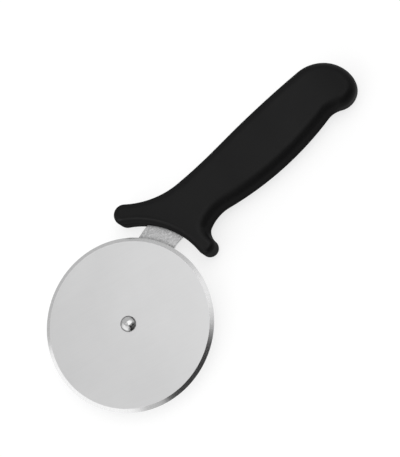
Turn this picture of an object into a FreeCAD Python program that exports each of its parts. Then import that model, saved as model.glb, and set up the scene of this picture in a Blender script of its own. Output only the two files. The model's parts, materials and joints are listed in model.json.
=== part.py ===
# Pizza cutter with a free-turning steel wheel: a stamped shank carries the wheel on a shoulder
# rivet, and a plastic handle is moulded over the shank's tang. Millimetres. The cutter lies on its
# back with +Z up, +X runs from the wheel to the butt of the handle, and the origin is on the
# ground under the middle of its box. Each piece is drawn about the wheel's axis and then placed.
import FreeCAD, Part
import math
import os
import Sketcher

# Driving sizes, one row a size: its name and its value
SIZES = [
    # Cutting wheel: a disc ground mostly from the front
    ("wheel_diameter", "101.6"),
    ("wheel_thickness", "1.3"),
    ("bevel_width", "2.3"),
    ("edge_land", "0.1"),
    ("back_bevel_width", "0.3"),
    ("back_bevel_depth", "0.1"),
    # Shoulder rivet, its fits and the washer behind the wheel
    ("shoulder_diameter", "6.0"),
    ("running_clearance", "0.05"),
    ("end_play", "0.1"),
    ("head_diameter", "9.2"),
    ("head_height", "2.8"),
    ("head_rim", "0.5"),
    ("dimple_diameter", "1.4"),
    ("dimple_depth", "0.3"),
    ("tenon_diameter", "4.5"),
    ("tenon_clearance", "0.05"),
    ("tail_diameter", "7.6"),
    ("tail_height", "1.3"),
    ("washer_diameter", "14.0"),
    ("washer_thickness", "0.8"),
    # Shank: a curved arm that ends in a straight tang
    ("shank_thickness", "2.0"),
    ("shank_width", "21.5"),
    ("bend_radius", "80.0"),
    ("tang_width", "16.0"),
    ("tang_cover", "20.0"),
    ("lock_hole_diameter", "7.0"),
    ("lock_hole_pitch", "25.0"),
    ("lock_hole_margin", "14.0"),
    ("edge_break", "0.15"),
    # Handle: guard round the wheel, two wings, grip and butt. The long wing's rise is measured round
    # the guard, and the belly's run from the middle of the grip. The sides at the finger and the grip
    # are the straight heights between the rounded rims, and the short wing's flat is half the width
    # of what stays flat between them. The crease laps over the face to run out cleanly
    ("handle_thickness", "16.0"),
    ("guard_run", "7.55"),
    ("guard_rise", "3.8"),
    ("grip_offset", "31.0"),
    ("grip_length", "130.85"),
    ("short_wing_radius", "5.1"),
    ("short_wing_rise", "5.65"),
    ("long_wing_radius", "6.3"),
    ("long_wing_rise", "59.15"),
    ("finger_notch_radius", "6.6"),
    ("finger_hump_radius", "23.7"),
    ("finger_hump_run", "19.85"),
    ("belly_radius", "185.0"),
    ("belly_run", "4.85"),
    ("belly_depth", "17.6"),
    ("heel_notch_radius", "12.7"),
    ("heel_radius", "11.55"),
    ("heel_depth", "14.2"),
    ("butt_radius", "22.2"),
    ("back_height", "20.45"),
    ("waist_run", "14.5"),
    ("waist_drop", "4.85"),
    ("waist_radius", "321.0"),
    ("guard_chamfer_width", "3.1"),
    ("guard_chamfer_depth", "3.6"),
    ("crease_radius", "1.6"),
    ("crease_lap", "0.06"),
    ("guard_edge_radius", "2.0"),
    ("long_wing_edge_radius", "4.7"),
    ("short_wing_flat", "0.35"),
    ("finger_side", "1.2"),
    ("grip_side", "3.6"),
]
LOCK_HOLES = 3

doc = FreeCAD.newDocument("pizza_cutter")
sheet = doc.addObject("Spreadsheet::Sheet", "sizes")
for row, (name, value) in enumerate(SIZES, start=1):
    sheet.set(f"A{row}", name)
    sheet.set(f"B{row}", value)
    sheet.setAlias(f"B{row}", name)
doc.recompute()

# Places that several pieces share, written in the sheet's sizes
WHEEL_R = "sizes.wheel_diameter / 2"
GUARD = f"({WHEEL_R} + sizes.guard_run)"
REACH = f"({GUARD} + sizes.grip_length)"
BELLY_U = f"({GUARD} + sizes.grip_length / 2 - sizes.belly_run)"
WING_ORBIT = f"({WHEEL_R} + sizes.long_wing_radius)"
LONG_WING_V = f"(sizes.guard_rise + {WING_ORBIT} * sin(sizes.long_wing_rise / {WING_ORBIT} * 1 rad))"
LONG_WING_TOP = f"({LONG_WING_V} + sizes.long_wing_radius)"
SHOULDER_R = "sizes.shoulder_diameter / 2"
SHOULDER_LENGTH = "(sizes.washer_thickness + sizes.wheel_thickness + 2 * sizes.end_play)"
SHANK_BACK = "(sizes.handle_thickness - sizes.shank_thickness) / 2"
SHANK_FRONT = "(sizes.handle_thickness + sizes.shank_thickness) / 2"
IN_LINE = {"X": "Vertical", "Y": "Horizontal"}
TOUCHING = 0.001


def measure(expression):
    return float(sheet.evalExpression(expression))


def place(piece, level, across="0", up="0"):
    """Moves a piece from a point by the wheel's axis to the frame, with its base at a level."""
    piece.setExpression("Placement.Base.x", f"({WHEEL_R} - {REACH}) / 2 + {across}")
    piece.setExpression("Placement.Base.y", f"({WHEEL_R} - {LONG_WING_TOP}) / 2 + {up}")
    piece.setExpression("Placement.Base.z", level)


def new_body(label, level):
    body = doc.addObject("PartDesign::Body", label)
    place(body, level)
    return body


def new_sketch(body, name, role):
    sketch = body.newObject("Sketcher::SketchObject", name)
    plane = next(item for item in body.Origin.OriginFeatures if item.Role == role)
    sketch.AttachmentSupport = [(plane, "")]
    sketch.MapMode = "FlatFace"
    return sketch


def drive(sketch, kind, where, expression):
    """Adds a dimension to a sketch and ties it to the sheet."""
    index = sketch.addConstraint(Sketcher.Constraint(kind, *where, measure(expression)))
    sketch.setExpression(f"Constraints[{index}]", expression)


def pin(sketch, point, direction, expression):
    """Holds one coordinate of a sketch point, given as (geometry, position), from the origin."""
    origin = (-1, 1)
    value = measure(expression)
    if value == 0:
        sketch.addConstraint(Sketcher.Constraint(IN_LINE[direction], *origin, *point))
    elif value > 0:
        drive(sketch, f"Distance{direction}", (*origin, *point), expression)
    else:
        drive(sketch, f"Distance{direction}", (*point, *origin), f"-({expression})")


def arc_between(start, end, radius, turn):
    """An arc of under half a circle from start to end, turning left (1) or right (-1)."""
    chord = end - start
    rise = math.sqrt(max(radius**2 - (chord.Length / 2) ** 2, 0))
    normal = FreeCAD.Vector(-chord.y, chord.x, 0).normalize()
    centre = (start + end) / 2 + normal * rise * turn
    ends = (start, end) if turn > 0 else (end, start)
    angles = [math.atan2(point.y - centre.y, point.x - centre.x) for point in ends]
    circle = Part.Circle(centre, FreeCAD.Vector(0, 0, 1), radius)
    return Part.ArcOfCircle(circle, *angles)


def closed_profile(sketch, corners, arcs):
    """Draws a closed outline through corners of two expressions each; arcs maps the corner that
    an arc leaves from to the arc's radius and turn, and every other side is straight."""
    points = [FreeCAD.Vector(measure(across), measure(up), 0) for across, up in corners]
    sides = []
    for index, start in enumerate(points):
        end = points[(index + 1) % len(points)]
        radius, turn = arcs.get(index, (None, 1))
        if radius:
            sketch.addGeometry(arc_between(start, end, measure(radius), turn))
            drive(sketch, "Radius", (index,), radius)
        else:
            sketch.addGeometry(Part.LineSegment(start, end))
        sides.append((1, 2) if turn > 0 else (2, 1))
    for index, (across, up) in enumerate(corners):
        before = (index - 1) % len(corners)
        here = (index, sides[index][0])
        sketch.addConstraint(Sketcher.Constraint("Coincident", before, sides[before][1], *here))
        pin(sketch, here, "X", across)
        pin(sketch, here, "Y", up)


def circle(sketch, across, up, radius):
    centre = FreeCAD.Vector(measure(across), measure(up), 0)
    index = sketch.addGeometry(Part.Circle(centre, FreeCAD.Vector(0, 0, 1), measure(radius)))
    drive(sketch, "Radius", (index,), radius)
    pin(sketch, (index, 3), "X", across)
    pin(sketch, (index, 3), "Y", up)


def pad(body, sketch, length):
    feature = body.newObject("PartDesign::Pad", f"{sketch.Name}_pad")
    feature.Profile = sketch
    feature.setExpression("Length", length)
    return feature


def revolve(body, sketch):
    feature = body.newObject("PartDesign::Revolution", f"{sketch.Name}_turned")
    feature.Profile = sketch
    feature.ReferenceAxis = (sketch, ["V_Axis"])
    return feature


def cap_radius(half_width, rise):
    """The sphere of a shallow cap, as an expression."""
    return f"(({half_width}) ^ 2 + ({rise}) ^ 2) / (2 * ({rise}))"


def make_wheel():
    """Disc with a bore that runs on the rivet, ground to an edge near its back face."""
    level = f"{SHANK_FRONT} + sizes.washer_thickness + sizes.end_play"
    body = new_body("cutting_wheel", level)
    sketch = new_sketch(body, "wheel_section", "XZ_Plane")
    bore = f"{SHOULDER_R} + sizes.running_clearance"
    corners = [
        (bore, "0"),
        (f"{WHEEL_R} - sizes.back_bevel_width", "0"),
        (WHEEL_R, "sizes.back_bevel_depth"),
        (WHEEL_R, "sizes.back_bevel_depth + sizes.edge_land"),
        (f"{WHEEL_R} - sizes.bevel_width", "sizes.wheel_thickness"),
        (bore, "sizes.wheel_thickness"),
    ]
    closed_profile(sketch, corners, {})
    revolve(body, sketch)
    return body


def make_rivet():
    """Domed head, shoulder that the wheel turns on, and a tenon peened over behind the shank."""
    body = new_body("axle_rivet", f"{SHANK_BACK} - sizes.tail_height")
    sketch = new_sketch(body, "rivet_section", "XZ_Plane")
    tail_r = "sizes.tail_diameter / 2"
    tenon_r = "sizes.tenon_diameter / 2"
    head_r = "sizes.head_diameter / 2"
    dimple_r = "sizes.dimple_diameter / 2"
    seat = "sizes.tail_height + sizes.shank_thickness"
    head = f"{seat} + {SHOULDER_LENGTH}"
    top = f"{head} + sizes.head_height"
    dome = cap_radius(head_r, "sizes.head_height - sizes.head_rim")
    dimple_edge = f"{top} - {dome} + sqrt(({dome}) ^ 2 - ({dimple_r}) ^ 2)"
    corners = [
        ("0", "0"),
        (tail_r, "sizes.tail_height"),
        (tenon_r, "sizes.tail_height"),
        (tenon_r, seat),
        (SHOULDER_R, seat),
        (SHOULDER_R, head),
        (head_r, head),
        (head_r, f"{head} + sizes.head_rim"),
        (dimple_r, dimple_edge),
        ("0", f"{top} - sizes.dimple_depth"),
    ]
    arcs = {0: (cap_radius(tail_r, "sizes.tail_height"), 1), 7: (dome, 1)}
    closed_profile(sketch, corners, arcs)
    revolve(body, sketch)
    return body


def make_washer():
    """Flat ring on the rivet's shoulder that keeps the wheel off the shank."""
    body = new_body("spacer_washer", SHANK_FRONT)
    sketch = new_sketch(body, "washer_ring", "XY_Plane")
    circle(sketch, "0", "0", "sizes.washer_diameter / 2")
    circle(sketch, "0", "0", f"{SHOULDER_R} + sizes.running_clearance")
    pad(body, sketch, "sizes.washer_thickness")
    return body


def make_shank():
    """Stamped arm: a round end at the wheel, a bend up to the grip's axis, then the tang."""
    body = new_body("shank", SHANK_BACK)
    sketch = new_sketch(body, "shank_outline", "XY_Plane")
    half = "sizes.shank_width / 2"
    half_tang = "sizes.tang_width / 2"
    bend = "sizes.bend_radius"
    axis = "sizes.grip_offset"
    bend_end = f"sqrt(2 * {bend} * {axis} - {axis} ^ 2)"
    across = f"{bend_end} * {half} / {bend}"
    along = f"({bend} - {axis}) * {half} / {bend}"
    tang_end = f"{REACH} - sizes.tang_cover"
    corners = [
        (across, f"-({along})"),
        (bend_end, f"{axis} - {half}"),
        (bend_end, f"{axis} - {half_tang}"),
        (tang_end, f"{axis} - {half_tang}"),
        (tang_end, f"{axis} + {half_tang}"),
        (bend_end, f"{axis} + {half_tang}"),
        (bend_end, f"{axis} + {half}"),
        (f"-({across})", along),
        (f"-({along})", f"-({across})"),
    ]
    arcs = {0: (f"{bend} - {half}", -1), 6: (f"{bend} + {half}", 1), 7: (half, 1), 8: (half, 1)}
    closed_profile(sketch, corners, arcs)
    circle(sketch, "0", "0", "sizes.tenon_diameter / 2 + sizes.tenon_clearance")
    for hole in range(LOCK_HOLES):
        place_along = f"{tang_end} - sizes.lock_hole_margin - {hole} * sizes.lock_hole_pitch"
        circle(sketch, place_along, axis, "sizes.lock_hole_diameter / 2")
    plate = pad(body, sketch, "sizes.shank_thickness")
    doc.recompute()
    broken = body.newObject("PartDesign::Chamfer", "shank_edges")
    arm_edges = [f"Edge{number}" for number, edge in enumerate(plate.Shape.Edges, start=1)
                 if isinstance(edge.Curve, Part.Circle) and not edge.isClosed()]
    broken.Base = (plate, arm_edges)
    broken.setExpression("Size", "sizes.edge_break")
    return body


class Arc:
    """One arc of the handle's outline: its centre and radius, and whether it bulges outwards."""

    def __init__(self, across, up, radius, convex):
        self.centre = FreeCAD.Vector(across, up, 0)
        self.radius = radius
        self.convex = convex

    def meets(self, other):
        """The point where this arc runs tangent into the next one."""
        if self.convex != other.convex:
            share = self.radius / (self.radius + other.radius)
            return self.centre + (other.centre - self.centre) * share
        large, small = (self, other) if self.radius > other.radius else (other, self)
        return large.centre + (small.centre - large.centre).normalize() * large.radius


def crossing(first, first_reach, second, second_reach, side):
    """The point at given distances from two others, left (1) or right (-1) of the way between."""
    way = second - first
    along = (way.Length**2 + first_reach**2 - second_reach**2) / (2 * way.Length)
    off = math.sqrt(first_reach**2 - along**2)
    way.normalize()
    return first + way * along + FreeCAD.Vector(-way.y, way.x, 0) * off * side


def handle_arcs():
    """The outline's arcs, anticlockwise from the guard, each tangent to its neighbours."""
    value = {name: measure(f"sizes.{name}") for name, _ in SIZES}
    reach = measure(REACH)
    axis = value["grip_offset"]
    guard = Arc(value["guard_run"], value["guard_rise"], measure(WHEEL_R), False)

    def wing(radius, rise):
        run = math.sqrt((guard.radius + radius) ** 2 - (rise - guard.centre.y) ** 2)
        return Arc(guard.centre.x + run, rise, radius, True)

    short_wing = wing(value["short_wing_radius"], value["short_wing_rise"])
    long_wing = wing(value["long_wing_radius"], measure(LONG_WING_V))
    belly_r = value["belly_radius"]
    belly = Arc(measure(BELLY_U), axis - value["belly_depth"] + belly_r, belly_r, True)
    hump_r = value["finger_hump_radius"]
    hump_u = short_wing.centre.x + value["finger_hump_run"]
    hump_fall = math.sqrt((belly_r + hump_r) ** 2 - (belly.centre.x - hump_u) ** 2)
    hump = Arc(hump_u, belly.centre.y - hump_fall, hump_r, False)
    notch_r = value["finger_notch_radius"]
    notch_c = crossing(short_wing.centre, short_wing.radius + notch_r, hump.centre, hump_r - notch_r, 1)
    notch = Arc(notch_c.x, notch_c.y, notch_r, False)
    heel_r = value["heel_radius"]
    heel = Arc(reach - heel_r, axis - value["heel_depth"] + heel_r, heel_r, True)
    dent_r = value["heel_notch_radius"]
    dent_c = crossing(belly.centre, belly_r + dent_r, heel.centre, dent_r + heel_r, -1)
    dent = Arc(dent_c.x, dent_c.y, dent_r, False)
    back = axis + value["back_height"]
    butt_r = value["butt_radius"]
    butt_v = back - butt_r
    butt_u = heel.centre.x - math.sqrt((butt_r - heel_r) ** 2 - (butt_v - heel.centre.y) ** 2)
    butt = Arc(butt_u, butt_v, butt_r, True)
    waist_u = measure(GUARD) + value["waist_run"]
    drop = value["waist_drop"]
    crest_r = ((butt_u - waist_u) ** 2 + drop**2) / (2 * drop) - value["waist_radius"]
    crest = Arc(butt_u, back - crest_r, crest_r, True)
    waist_v = back - drop
    waist = Arc(waist_u, waist_v + value["waist_radius"], value["waist_radius"], False)
    to_wing = long_wing.centre - FreeCAD.Vector(waist_u, waist_v, 0)
    sweep_r = (to_wing.Length**2 - long_wing.radius**2) / (2 * (long_wing.radius + to_wing.y))
    sweep = Arc(waist_u, waist_v + sweep_r, sweep_r, False)
    return [guard, short_wing, notch, hump, belly, dent, heel, butt, crest, waist, sweep, long_wing]


def draw_handle_outline(sketch, arcs):
    """Draws the arcs, joins them tangent end to end, and ties them to the sheet."""
    count = len(arcs)
    joints = [arcs[index].meets(arcs[(index + 1) % count]) for index in range(count)]
    for index, arc in enumerate(arcs):
        ends = (joints[index - 1], joints[index]) if arc.convex else (joints[index], joints[index - 1])
        spokes = [end - arc.centre for end in ends]
        angles = [math.atan2(spoke.y, spoke.x) for spoke in spokes]
        ring = Part.Circle(arc.centre, FreeCAD.Vector(0, 0, 1), arc.radius)
        sketch.addGeometry(Part.ArcOfCircle(ring, *angles))
    for index, arc in enumerate(arcs):
        after = (index + 1) % count
        leave = 2 if arc.convex else 1
        enter = 1 if arcs[after].convex else 2
        sketch.addConstraint(Sketcher.Constraint("Tangent", index, leave, after, enter))
    return joints


def tie_handle_outline(sketch):
    """Dimensions of the outline; the arcs are numbered in the order of handle_arcs."""
    arcs = range(sketch.GeometryCount)
    guard, short_wing, notch, hump, belly, dent, heel, butt, crest, waist, sweep, long_wing = arcs
    axis = "sizes.grip_offset"
    back = f"{axis} + sizes.back_height"
    radii = {
        guard: WHEEL_R,
        short_wing: "sizes.short_wing_radius",
        notch: "sizes.finger_notch_radius",
        hump: "sizes.finger_hump_radius",
        belly: "sizes.belly_radius",
        dent: "sizes.heel_notch_radius",
        heel: "sizes.heel_radius",
        butt: "sizes.butt_radius",
        waist: "sizes.waist_radius",
        long_wing: "sizes.long_wing_radius",
    }
    for arc, radius in radii.items():
        drive(sketch, "Radius", (arc,), radius)
    pin(sketch, (guard, 3), "X", "sizes.guard_run")
    pin(sketch, (guard, 3), "Y", "sizes.guard_rise")
    pin(sketch, (short_wing, 3), "Y", "sizes.short_wing_rise")
    pin(sketch, (long_wing, 3), "Y", LONG_WING_V)
    drive(sketch, "DistanceX", (short_wing, 3, hump, 3), "sizes.finger_hump_run")
    pin(sketch, (belly, 3), "X", BELLY_U)
    pin(sketch, (belly, 3), "Y", f"{axis} - sizes.belly_depth + sizes.belly_radius")
    pin(sketch, (heel, 3), "X", f"{REACH} - sizes.heel_radius")
    pin(sketch, (heel, 3), "Y", f"{axis} - sizes.heel_depth + sizes.heel_radius")
    pin(sketch, (butt, 3), "Y", f"{back} - sizes.butt_radius")
    sketch.addConstraint(Sketcher.Constraint("Vertical", butt, 3, crest, 3))
    pin(sketch, (waist, 3), "X", f"{GUARD} + sizes.waist_run")
    pin(sketch, (waist, 3), "Y", f"{back} - sizes.waist_drop + sizes.waist_radius")
    sketch.addConstraint(Sketcher.Constraint("Vertical", waist, 3, sweep, 3))


def rim_radii(solid, joints):
    """Rounding of each rim edge: small along the guard, fuller on the wings and fullest by the finger."""
    guard_edge = measure("sizes.guard_edge_radius")
    long_wing_edge = measure("sizes.long_wing_edge_radius")
    short_wing_edge = measure("sizes.short_wing_radius - sizes.short_wing_flat")
    finger_edge = measure("(sizes.handle_thickness - sizes.finger_side) / 2")
    grip_edge = measure("(sizes.handle_thickness - sizes.grip_side) / 2")
    radii = [grip_edge] * len(joints)
    radii[:4] = [(guard_edge + short_wing_edge) / 2, short_wing_edge, finger_edge, finger_edge]
    radii[-2:] = [long_wing_edge, guard_edge]
    rounding = []
    for number, edge in enumerate(solid.Edges, start=1):
        ends = [edge.firstVertex().Point, edge.lastVertex().Point]
        if abs(ends[0].z - ends[1].z) > TOUCHING:
            continue
        feet = [FreeCAD.Vector(end.x, end.y, 0) for end in ends]
        nearest = [min(zip(joints, radii), key=lambda pair: foot.distanceToPoint(pair[0])) for foot in feet]
        rounding.append((number, *[radius for _, radius in nearest]))
    return rounding


def make_guard_cutter():
    """Ring that chamfers the guard's rims, front and back, and rounds the crease of each chamfer."""
    body = new_body("guard_cutter", "0")
    place(body, "0", "sizes.guard_run", "sizes.guard_rise")
    sketch = new_sketch(body, "guard_cutter_section", "XZ_Plane")
    thickness = "sizes.handle_thickness"
    width = "sizes.guard_chamfer_width"
    depth = "sizes.guard_chamfer_depth"
    round_off = "sizes.crease_radius"
    lap = "sizes.crease_lap"
    slope = f"atan({depth} / {width})"
    crease = f"{WHEEL_R} + {width}"
    run = f"{round_off} * tan({slope} / 2)"
    mouth = f"{crease} + {run}"
    start = f"{crease} - {run} * cos({slope})"
    drop = f"{run} * sin({slope}) - {lap}"
    apex = f"{crease} - ({thickness} / 2 + {lap}) * {width} / {depth}"
    inner = f"{apex} - {width}"
    corners = [
        (inner, f"-{depth}"),
        (mouth, f"-{depth}"),
        (mouth, f"-{lap}"),
        (start, drop),
        (apex, f"{thickness} / 2"),
        (start, f"{thickness} - ({drop})"),
        (mouth, f"{thickness} + {lap}"),
        (mouth, f"{thickness} + {depth}"),
        (inner, f"{thickness} + {depth}"),
    ]
    closed_profile(sketch, corners, {2: (round_off, -1), 5: (round_off, -1)})
    revolve(body, sketch)
    return body


def make_handle(shank):
    """Moulded handle: the outline's slab with rounded rims, chamfered at the guard and filled in
    round the shank's tang."""
    body = doc.addObject("PartDesign::Body", "handle_slab")
    sketch = new_sketch(body, "handle_outline", "XY_Plane")
    arcs = handle_arcs()
    joints = draw_handle_outline(sketch, arcs)
    tie_handle_outline(sketch)
    pad(body, sketch, "sizes.handle_thickness")
    doc.recompute()
    rounded = doc.addObject("Part::Fillet", "handle_rounded")
    rounded.Base = body
    rounded.Edges = rim_radii(body.Shape, joints)
    place(rounded, "0")
    chamfered = doc.addObject("Part::Cut", "handle_chamfered")
    chamfered.Base = rounded
    chamfered.Tool = make_guard_cutter()
    handle = doc.addObject("Part::Cut", "handle")
    handle.Base = chamfered
    handle.Tool = shank
    return handle


shank_piece = make_shank()
pieces = [make_wheel(), make_rivet(), make_washer(), shank_piece, make_handle(shank_piece)]
doc.recompute()

for item in doc.Objects:
    if {"Invalid", "Error"} & set(item.State):
        raise RuntimeError(f"{item.Label} failed: {item.State}")
for piece in pieces:
    if piece.Shape.isNull() or not piece.Shape.isValid() or len(piece.Shape.Solids) != 1:
        raise RuntimeError(f"{piece.Label} is not one sound solid")
os.makedirs("parts", exist_ok=True)
for piece in pieces:
    piece.Shape.exportStep(f"parts/{piece.Label}.step")
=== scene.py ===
import bpy
import json
import math
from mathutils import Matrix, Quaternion, Vector


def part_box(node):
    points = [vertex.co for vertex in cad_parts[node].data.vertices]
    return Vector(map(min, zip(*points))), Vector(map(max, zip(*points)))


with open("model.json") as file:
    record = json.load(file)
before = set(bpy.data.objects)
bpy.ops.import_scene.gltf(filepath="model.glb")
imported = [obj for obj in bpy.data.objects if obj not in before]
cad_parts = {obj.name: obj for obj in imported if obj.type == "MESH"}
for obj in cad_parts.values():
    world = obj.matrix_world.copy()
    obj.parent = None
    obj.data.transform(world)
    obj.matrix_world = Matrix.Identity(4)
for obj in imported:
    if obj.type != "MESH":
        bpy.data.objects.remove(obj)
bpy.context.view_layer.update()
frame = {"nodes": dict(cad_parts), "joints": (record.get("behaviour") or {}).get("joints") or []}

# Shank: an arm stamped from 2 mm stainless strip, then tumbled to break its edges, which leaves its
# faces a speckled grey. It carries the axle at its round end and its tang sits inside the handle. Its
# side walls are painted pale as painted light, and a band beside the wheel's rim is painted darker as
# painted shadow under the rim.
shank_dark = (0.26, 0.26, 0.262, 1)
shank_pale = (0.54, 0.54, 0.542, 1)
shank_side_painted_light = (0.88, 0.88, 0.88, 1)
shank_side_limit = 0.5
shank_specks_per_m = 1300
shank_pits_per_m = 700
shank_pit_depth = 0.00003
shank_scuffs_per_m = 900
shank_scuff_turn = math.radians(28)
shank_scuff_share = 0.25
shank_gloss = (0.5, 0.36)
rim_painted_shade = (0.6, 1)
rim_painted_shade_span = (0.0507, 0.0528)
axle = Vector(frame["joints"][0]["pos_m"])

# How finely each kind of mark breaks up, how far rubbed lines are drawn out, and the part of a mask's
# range that its noise fills.
speck_detail = 4
pit_detail = 3
line_detail = 4
ring_detail = 3
stroke_detail = 4
line_draw = (0.03, 1, 1)
in_plane = (1, 1, 0)
mask_low = 0.3
mask_high = 0.7


def new_finish(name):
    """A new node material: gives the material, its shader and its node tree."""
    finish = bpy.data.materials.new(name)
    finish.use_nodes = True
    return finish, finish.node_tree.nodes["Principled BSDF"], finish.node_tree


def new_group(name, inputs, outputs):
    """A shader group with its sockets: gives the group, its entry, its exit and its place node."""
    group = bpy.data.node_groups.new(name, "ShaderNodeTree")
    for label in inputs:
        kind = "NodeSocketVector" if label == "Centre" else "NodeSocketFloat"
        group.interface.new_socket(label, in_out="INPUT", socket_type=kind)
    for label in outputs:
        group.interface.new_socket(label, in_out="OUTPUT", socket_type="NodeSocketFloat")
    enter = group.nodes.new("NodeGroupInput")
    leave = group.nodes.new("NodeGroupOutput")
    return group, enter, leave, group.nodes.new("ShaderNodeTexCoord")


def feed(tree, socket, value):
    """Joins another socket to a socket, or sets it to a number, vector or colour."""
    if isinstance(value, bpy.types.NodeSocket):
        tree.links.new(value, socket)
    else:
        socket.default_value = value


def add_math(tree, operation, first, second=0):
    """One step of arithmetic on two sockets or numbers."""
    node = tree.nodes.new("ShaderNodeMath")
    node.operation = operation
    feed(tree, node.inputs[0], first)
    feed(tree, node.inputs[1], second)
    return node.outputs["Value"]


def add_vector_math(tree, operation, first, second=(0, 0, 0)):
    """One step of arithmetic on two vectors: gives the node, whose result is a vector or a value."""
    node = tree.nodes.new("ShaderNodeVectorMath")
    node.operation = operation
    feed(tree, node.inputs[0], first)
    feed(tree, node.inputs[1], second)
    return node


def add_noise(group, dimensions, place, pitch, detail, result):
    """Noise of a pitch and a detail at a place, joined to one of the group's results."""
    noise = group.nodes.new("ShaderNodeTexNoise")
    noise.noise_dimensions = dimensions
    noise.inputs["Detail"].default_value = detail
    group.links.new(place, noise.inputs["W" if dimensions == "1D" else "Vector"])
    group.links.new(pitch, noise.inputs["Scale"])
    group.links.new(noise.outputs["Fac"], result)


def speckle_group():
    """Random grain of a tumbled or moulded skin: a tone mask and a height, each of its own pitch."""
    sockets = ("Specks per m", "Pits per m")
    group, enter, leave, place = new_group("skin_grain", sockets, ("Tone", "Height"))
    here = place.outputs["Object"]
    add_noise(group, "3D", here, enter.outputs["Specks per m"], speck_detail, leave.inputs["Tone"])
    add_noise(group, "3D", here, enter.outputs["Pits per m"], pit_detail, leave.inputs["Height"])
    return group


def scuff_group():
    """Straight fine lines left by rolling, brushing or rubbing, turned about the sheet's normal."""
    group, enter, leave, place = new_group("rubbed_lines", ("Lines per m", "Turn"), ("Lines",))
    turned = group.nodes.new("ShaderNodeVectorRotate")
    turned.rotation_type = "Z_AXIS"
    group.links.new(place.outputs["Object"], turned.inputs["Vector"])
    group.links.new(enter.outputs["Turn"], turned.inputs["Angle"])
    drawn = add_vector_math(group, "MULTIPLY", turned.outputs["Vector"], line_draw).outputs["Vector"]
    add_noise(group, "3D", drawn, enter.outputs["Lines per m"], line_detail, leave.inputs["Lines"])
    return group


def turning_group():
    """Marks about a centre: the distance from it, noise in rings and noise in spokes."""
    sockets = ("Centre", "Rings per m", "Spokes")
    group, enter, leave, place = new_group("turning_marks", sockets, ("Distance", "Rings", "Strokes"))
    centred = add_vector_math(group, "SUBTRACT", place.outputs["Object"], enter.outputs["Centre"])
    flat = add_vector_math(group, "MULTIPLY", centred.outputs["Vector"], in_plane).outputs["Vector"]
    distance = add_vector_math(group, "LENGTH", flat).outputs["Value"]
    group.links.new(distance, leave.inputs["Distance"])
    add_noise(group, "1D", distance, enter.outputs["Rings per m"], ring_detail, leave.inputs["Rings"])
    spoke = add_vector_math(group, "NORMALIZE", flat).outputs["Vector"]
    add_noise(group, "2D", spoke, enter.outputs["Spokes"], stroke_detail, leave.inputs["Strokes"])
    return group


skin_grain = speckle_group()
rubbed_lines = scuff_group()
turning_marks = turning_group()


def add_effect(tree, group, **values):
    """Places a shared effect in a finish with its own values; underscores stand for spaces."""
    node = tree.nodes.new("ShaderNodeGroup")
    node.node_tree = group
    for name, value in values.items():
        node.inputs[name.replace("_", " ")].default_value = value
    return node


def add_ramp(tree, mask, low, high, start=mask_low, end=mask_high):
    """Turns a mask into a colour between two tones."""
    ramp = tree.nodes.new("ShaderNodeValToRGB")
    for stop, position, tone in zip(ramp.color_ramp.elements, (start, end), (low, high)):
        stop.position = position
        stop.color = tone
    tree.links.new(mask, ramp.inputs["Fac"])
    return ramp.outputs["Color"]


def add_range(tree, mask, low, high, start=mask_low, end=mask_high):
    """Turns a mask into a number between two limits."""
    span = tree.nodes.new("ShaderNodeMapRange")
    span.inputs["From Min"].default_value = start
    span.inputs["From Max"].default_value = end
    span.inputs["To Min"].default_value = low
    span.inputs["To Max"].default_value = high
    tree.links.new(mask, span.inputs["Value"])
    return span.outputs["Result"]


def mix_masks(tree, first, second, share):
    """Adds up two masks, the second by its share and the first by the rest."""
    return add_math(tree, "ADD", add_math(tree, "MULTIPLY", first, 1 - share),
                    add_math(tree, "MULTIPLY", second, share))


def add_bump(tree, shader, height, depth):
    """Joins a height to a shader's normal, at a real depth in metres."""
    bump = tree.nodes.new("ShaderNodeBump")
    bump.inputs["Distance"].default_value = depth
    tree.links.new(height, bump.inputs["Height"])
    tree.links.new(bump.outputs["Normal"], shader.inputs["Normal"])


def dress(node_name, finish):
    """Gives a node of the frame its finish."""
    for slot in frame["nodes"][node_name].material_slots:
        slot.material = finish


shank_finish, shader, tree = new_finish("tumbled_steel")
grain = add_effect(tree, skin_grain, Specks_per_m=shank_specks_per_m, Pits_per_m=shank_pits_per_m)
scuffs = add_effect(tree, rubbed_lines, Lines_per_m=shank_scuffs_per_m, Turn=shank_scuff_turn)
speckle = mix_masks(tree, grain.outputs["Tone"], scuffs.outputs["Lines"], shank_scuff_share)
# The side walls are painted pale: painted light that lifts their dark reflection.
facing = tree.nodes.new("ShaderNodeSeparateXYZ")
normal = tree.nodes.new("ShaderNodeNewGeometry").outputs["True Normal"]
tree.links.new(normal, facing.inputs["Vector"])
flatness = add_math(tree, "ABSOLUTE", facing.outputs["Z"])
on_side = add_math(tree, "LESS_THAN", flatness, shank_side_limit)
skin = tree.nodes.new("ShaderNodeMix")
skin.data_type = "RGBA"
tree.links.new(on_side, skin.inputs["Factor"])
tree.links.new(add_ramp(tree, speckle, shank_dark, shank_pale), skin.inputs["A"])
skin.inputs["B"].default_value = shank_side_painted_light
# A band beside the wheel's rim is painted darker: painted shadow under the rim.
from_axle = add_effect(tree, turning_marks, Centre=axle).outputs["Distance"]
rim_shaded_skin = add_vector_math(tree, "SCALE", skin.outputs["Result"])
tree.links.new(add_range(tree, from_axle, *rim_painted_shade, *rim_painted_shade_span), rim_shaded_skin.inputs["Scale"])
tree.links.new(rim_shaded_skin.outputs["Vector"], shader.inputs["Base Color"])
tree.links.new(add_range(tree, grain.outputs["Tone"], *shank_gloss), shader.inputs["Roughness"])
add_bump(tree, shader, grain.outputs["Height"], shank_pit_depth)
shader.inputs["Metallic"].default_value = 1
dress("shank", shank_finish)

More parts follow.
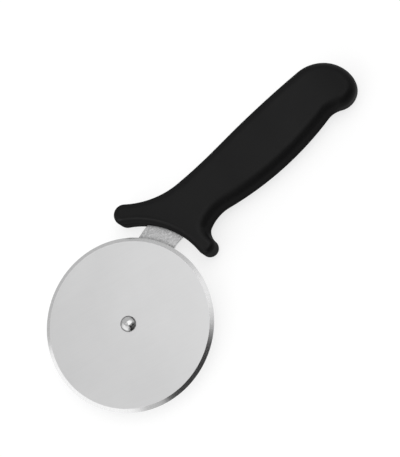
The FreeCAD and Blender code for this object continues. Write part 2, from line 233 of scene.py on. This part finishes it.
# Handle: black plastic moulded round the tang in a two-part mould. The tool's spark-eroded skin gives
# it a fine satin grain, and its halves leave a faint seam half way up the sides. The crease round the
# guard shines, and hands have evened out the butt and rubbed the tip of the short wing.
handle_black = (0.0055, 0.0055, 0.0056, 1)
handle_grey = (0.0080, 0.0080, 0.0082, 1)
handle_specks_per_m = 1500
handle_grain_per_m = 2600
handle_grain_depth = 0.00002
handle_sheen = (0.2, 0.06)
handle_sheen_span = (0.13, 0.6)
handle_sheen_roughness = 0.36
handle_clouds_per_m = 45
handle_cloud_shine = (0.92, 1.08)
handle_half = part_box("handle")[1][2] / 2
seam_half_width = 0.00018
seam_rise = 0.4
guard_centre = axle + Vector((0.0062, 0.0038, 0))
guard_line_half_width = 0.0008
crease_radius = 0.0543
crease_depth = 0.0012
crease_shine = 1.9
corner_radius = 0.0530
corner_shine = 0.55
butt_sheen = (0.115, 0.3)
butt_share = 0.75
butt_span = (0.098, 0.112)
tip_place = axle + Vector((0.0655, 0.0050, 0))
tip_sheen = (0.215, 0.14)
tip_share = 0.85
tip_span = (0.0045, 0.0080)

handle_finish, shader, tree = new_finish("moulded_black")
grain = add_effect(tree, skin_grain, Specks_per_m=handle_specks_per_m, Pits_per_m=handle_grain_per_m)
skin = add_ramp(tree, grain.outputs["Tone"], handle_black, handle_grey)
tree.links.new(skin, shader.inputs["Base Color"])
shader.inputs["Roughness"].default_value = 1
shader.inputs["Specular IOR Level"].default_value = 0
shader.inputs["Coat Roughness"].default_value = handle_sheen_roughness
level = tree.nodes.new("ShaderNodeSeparateXYZ")
tree.links.new(tree.nodes.new("ShaderNodeTexCoord").outputs["Object"], level.inputs["Vector"])
from_seam = add_math(tree, "ABSOLUTE", add_math(tree, "SUBTRACT", level.outputs["Z"], handle_half))
seam = add_range(tree, from_seam, seam_rise, 0, 0, seam_half_width)
add_bump(tree, shader, add_math(tree, "ADD", grain.outputs["Height"], seam), handle_grain_depth)

tilt = tree.nodes.new("ShaderNodeLayerWeight").outputs["Facing"]
sheen = add_range(tree, tilt, *handle_sheen, *handle_sheen_span)
clouds = add_effect(tree, skin_grain, Specks_per_m=handle_clouds_per_m).outputs["Tone"]
sheen = add_math(tree, "MULTIPLY", sheen, add_range(tree, clouds, *handle_cloud_shine))
from_guard = add_effect(tree, turning_marks, Centre=guard_centre).outputs["Distance"]
by_face = add_range(tree, from_seam, 0, 1, handle_half - 2 * crease_depth, handle_half - crease_depth)
for radius, shine in ((crease_radius, crease_shine), (corner_radius, corner_shine)):
    off_line = add_math(tree, "ABSOLUTE", add_math(tree, "SUBTRACT", from_guard, radius))
    line = add_range(tree, off_line, 1, 0, 0, guard_line_half_width)
    line = add_math(tree, "MULTIPLY", line, by_face)
    sheen = add_math(tree, "MULTIPLY", sheen, add_range(tree, line, 1, shine, 0, 1))
by_butt = add_range(tree, level.outputs["X"], 0, butt_share, *butt_span)
from_tip = add_effect(tree, turning_marks, Centre=tip_place).outputs["Distance"]
by_tip = add_range(tree, from_tip, tip_share, 0, *tip_span)
for worn_sheen, share in ((butt_sheen, by_butt), (tip_sheen, by_tip)):
    worn = add_range(tree, tilt, *worn_sheen, *handle_sheen_span)
    change = add_math(tree, "MULTIPLY", share, add_math(tree, "SUBTRACT", worn, sheen))
    sheen = add_math(tree, "ADD", sheen, change)
tree.links.new(sheen, shader.inputs["Coat Weight"])
dress("handle", handle_finish)

# Washer: a plain ring punched from stainless sheet. It sits loose on the rivet's shoulder and keeps the
# wheel off the shank, and the turning wheel rubs rings into its face.
washer_dark = (0.46, 0.46, 0.463, 1)
washer_pale = (0.6, 0.6, 0.603, 1)
washer_rings_per_m = 5200
washer_ring_depth = 0.00001
washer_gloss = (0.26, 0.42)

washer_finish, shader, tree = new_finish("punched_steel")
rings = add_effect(tree, turning_marks, Centre=axle, Rings_per_m=washer_rings_per_m).outputs["Rings"]
tree.links.new(add_ramp(tree, rings, washer_dark, washer_pale), shader.inputs["Base Color"])
tree.links.new(add_range(tree, rings, *washer_gloss), shader.inputs["Roughness"])
add_bump(tree, shader, rings, washer_ring_depth)
shader.inputs["Metallic"].default_value = 1
dress("spacer_washer", washer_finish)

# Cutting wheel: a disc blanked from rolled stainless sheet with a fine satin face. Its rim is ground to
# an edge on a belt, whose strokes run across the bevel, and it turns freely on the rivet.
wheel_dark = (0.535, 0.535, 0.537, 1)
wheel_pale = (0.575, 0.575, 0.577, 1)
wheel_clouds_per_m = 38
wheel_lines_per_m = 2100
wheel_lines_turn = math.radians(12)
wheel_line_share = 0.4
wheel_line_depth = 0.000004
wheel_face_gloss = (0.34, 0.38)
bevel_width = 0.0023
bevel_spokes = 90
bevel_stroke_share = 0.2
bevel_gloss = (0.17, 0.19)

wheel_finish, shader, tree = new_finish("satin_steel")
clouds = add_effect(tree, skin_grain, Specks_per_m=wheel_clouds_per_m).outputs["Tone"]
lines = add_effect(tree, rubbed_lines, Lines_per_m=wheel_lines_per_m,
                   Turn=wheel_lines_turn).outputs["Lines"]
marks = add_effect(tree, turning_marks, Centre=axle, Spokes=bevel_spokes)
strokes = marks.outputs["Strokes"]
wheel_low, wheel_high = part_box("cutting_wheel")
bevel_start = (wheel_high[0] - wheel_low[0]) / 2 - bevel_width
on_bevel = add_math(tree, "GREATER_THAN", marks.outputs["Distance"], bevel_start)
on_face = add_math(tree, "SUBTRACT", 1, on_bevel)


def by_zone(face_value, bevel_value):
    """One value on the wheel's face and another on its bevel."""
    return add_math(tree, "ADD", add_math(tree, "MULTIPLY", face_value, on_face),
                    add_math(tree, "MULTIPLY", bevel_value, on_bevel))


tone = by_zone(mix_masks(tree, clouds, lines, wheel_line_share), strokes)
tree.links.new(add_ramp(tree, tone, wheel_dark, wheel_pale), shader.inputs["Base Color"])
gloss = by_zone(add_range(tree, lines, *wheel_face_gloss), add_range(tree, strokes, *bevel_gloss))
tree.links.new(gloss, shader.inputs["Roughness"])
height = by_zone(lines, add_math(tree, "MULTIPLY", strokes, bevel_stroke_share))
add_bump(tree, shader, height, wheel_line_depth)
shader.inputs["Metallic"].default_value = 1
dress("cutting_wheel", wheel_finish)

# Axle rivet: turned from stainless bar, its domed head polished and left with a small centre mark and a
# few light dents, and the head's rim painted dark as painted shade against the wheel. Its tenon is
# peened over behind the shank.
rivet_rim_painted_shade = (0.1, 0.1, 0.1, 1)
rivet_steel = (0.5, 0.5, 0.502, 1)
rivet_rim_shade_span = (0.0046, 0.0036)
rivet_rings_per_m = 3800
rivet_ring_share = 0.01
rivet_dents_per_m = 330
rivet_dent_depth = 0.0005
rivet_gloss = (0.1, 0.17)

rivet_finish, shader, tree = new_finish("polished_steel")
marks = add_effect(tree, turning_marks, Centre=axle, Rings_per_m=rivet_rings_per_m)
rings = marks.outputs["Rings"]
# The head's rim is painted dark: painted shade where the head meets the wheel.
clear_of_rim_shade = add_range(tree, marks.outputs["Distance"], 0, 1, *rivet_rim_shade_span)
tree.links.new(add_ramp(tree, clear_of_rim_shade, rivet_rim_painted_shade, rivet_steel, 0, 1), shader.inputs["Base Color"])
tree.links.new(add_range(tree, rings, *rivet_gloss), shader.inputs["Roughness"])
dents = add_effect(tree, skin_grain, Pits_per_m=rivet_dents_per_m).outputs["Height"]
rings = add_math(tree, "MULTIPLY", rings, rivet_ring_share)
add_bump(tree, shader, add_math(tree, "ADD", rings, dents), rivet_dent_depth)
shader.inputs["Metallic"].default_value = 1
dress("axle_rivet", rivet_finish)

# Floor: a wide white table under the cutter. It shows white to the lens and in the steel, and keeps the
# cutter's soft shadow.
floor_size = 16
floor_white = (0.3, 0.3, 0.3, 1)
floor_roughness = 0.9
floor_lift = 0.74
lit_white = (1, 1, 1, 1)

bpy.ops.object.select_all(action="DESELECT")
bpy.ops.mesh.primitive_plane_add(size=floor_size, location=(0, 0, 0))
floor = bpy.context.object
floor.name = "floor"
floor_finish, shader, tree = new_finish("white_table")
shader.inputs["Base Color"].default_value = floor_white
shader.inputs["Roughness"].default_value = floor_roughness
shader.inputs["Specular IOR Level"].default_value = 0
shader.inputs["Emission Color"].default_value = lit_white
rays = tree.nodes.new("ShaderNodeLightPath")
seen = add_math(tree, "MAXIMUM", rays.outputs["Is Camera Ray"], rays.outputs["Is Glossy Ray"])
seen = add_math(tree, "MAXIMUM", seen, rays.outputs["Is Transmission Ray"])
tree.links.new(add_math(tree, "MULTIPLY", seen, floor_lift), shader.inputs["Emission Strength"])
floor.data.materials.append(floor_finish)

# Light: a pale studio with a soft box overhead in its own glow, one low at the left, and a dark side
# towards the lower right, paler at its foot, which draws the dark stretch of the bevel and the dark
# wedge on the rivet. Each is a round patch: direction, outer and inner angle in degrees, level.
room_level = 0.848
dark_side = ((0.266, -0.850, 0.455), 43.0, 41.0, 0.06)
dark_side_foot = ((0.48, -0.875, -0.06), 40, 26, 0.32)
overhead_glow = ((0.470, 0.171, 0.866), 36.5, 21, room_level)
overhead_box = ((0.304, 0.158, 0.940), 29.7, 20.1, 1.90)
left_box = ((-0.973, -0.113, 0.200), 44.6, 37.2, 1.625)

world = bpy.data.worlds.new("studio")
bpy.context.scene.world = world
world.use_nodes = True
tree = world.node_tree
background = tree.nodes["Background"]
background.inputs["Color"].default_value = lit_white
sky = tree.nodes.new("ShaderNodeTexCoord").outputs["Generated"]


def add_light(room, patch):
    """Blends a soft-edged patch of the sky into the room."""
    towards, outer, inner, patch_level = patch
    dot = add_vector_math(tree, "DOT_PRODUCT", sky, Vector(towards).normalized())
    share = tree.nodes.new("ShaderNodeMapRange")
    share.interpolation_type = "SMOOTHSTEP"
    share.inputs["From Min"].default_value = math.cos(math.radians(outer))
    share.inputs["From Max"].default_value = math.cos(math.radians(inner))
    tree.links.new(dot.outputs["Value"], share.inputs["Value"])
    mix = tree.nodes.new("ShaderNodeMix")
    mix.data_type = "FLOAT"
    tree.links.new(share.outputs["Result"], mix.inputs["Factor"])
    feed(tree, mix.inputs["A"], room)
    mix.inputs["B"].default_value = patch_level
    return mix.outputs["Result"]


room = room_level
for patch in (dark_side, dark_side_foot, overhead_glow, overhead_box, left_box):
    room = add_light(room, patch)
tree.links.new(room, background.inputs["Strength"])

# Camera: a long lens above the cutter and to one side, turned so that the handle points up and to the
# right. Colours are shown as they are written.
camera_place = Vector((0.0545, -0.2122, 0.67047))
camera_target = Vector((-0.00262, 0.01264, 0.01005))
camera_roll = math.radians(-53.43)
camera_lens = 95.66

camera_data = bpy.data.cameras.new("camera")
camera_data.lens = camera_lens
camera = bpy.data.objects.new("camera", camera_data)
bpy.context.scene.collection.objects.link(camera)
camera.location = camera_place
aim = (camera_target - camera_place).to_track_quat("-Z", "Y")
camera.rotation_euler = (aim @ Quaternion((0, 0, 1), camera_roll)).to_euler()
bpy.context.scene.camera = camera
bpy.context.scene.view_settings.view_transform = "Standard"
